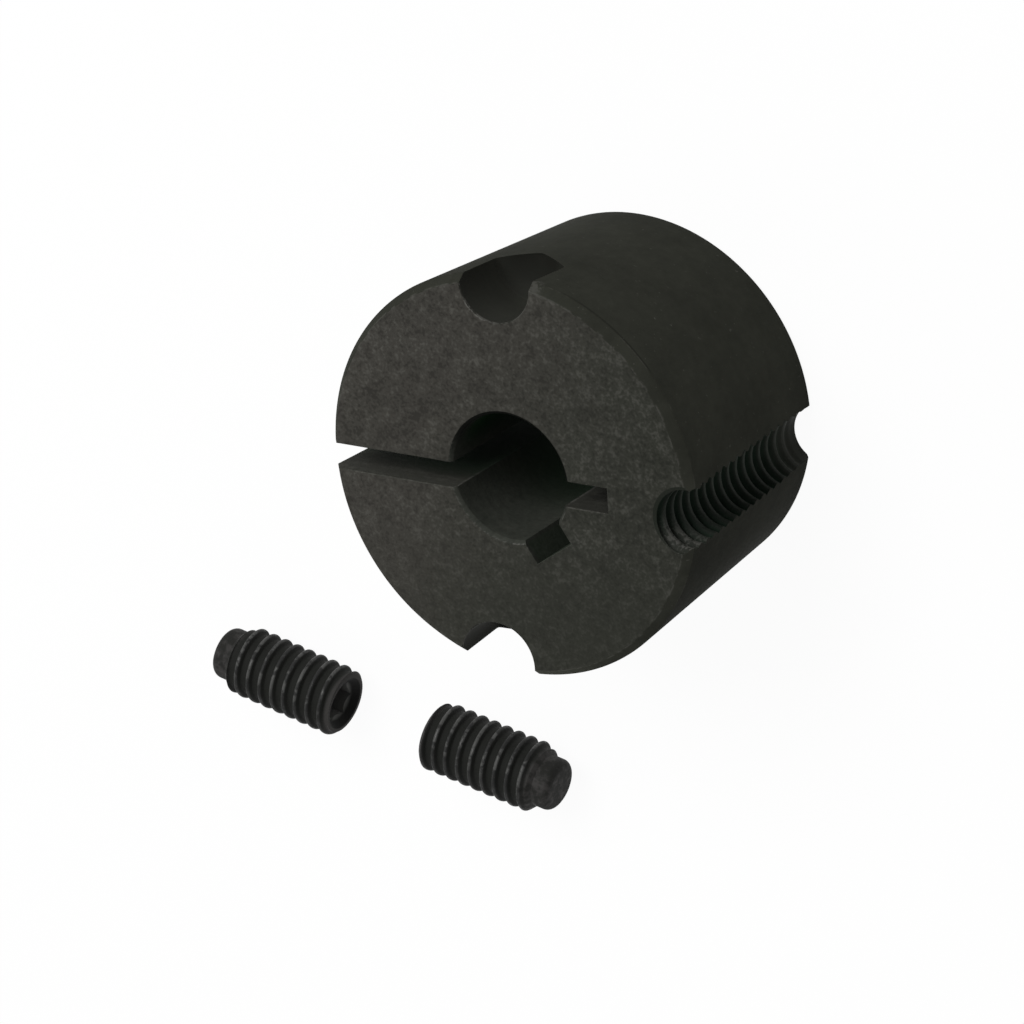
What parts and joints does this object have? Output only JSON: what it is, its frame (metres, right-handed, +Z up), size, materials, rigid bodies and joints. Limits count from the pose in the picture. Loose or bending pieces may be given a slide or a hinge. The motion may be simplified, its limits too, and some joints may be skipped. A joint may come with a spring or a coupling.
{
  "type": "taper lock bushing",
  "caption": "Black split taper bushing with keyed bore, saw cut and half holes in its rim, with loose socket set screws lying beside it.",
  "frame": {"origin": "on the floor, at the middle of the whole set's bounding box; the bushing's own axis stands at x 0.01233, y 0.01138", "axes": "+Z up along the bushing's axis, from the small end it stands on to the large end; +X towards its threaded half hole, -X towards its saw cut"},
  "size_m": [0.0594, 0.0576, 0.0223],
  "materials": {
    "bushing": "black phosphate, faintly mottled, machined faces",
    "set_screw": "black oxide, satin, lighter on the thread crests"
  },
  "bodies": {
    "root": {"bushing": "bushing", "set_screw_1": "set_screw", "set_screw_2": "set_screw"}
  },
  "joints": []
}
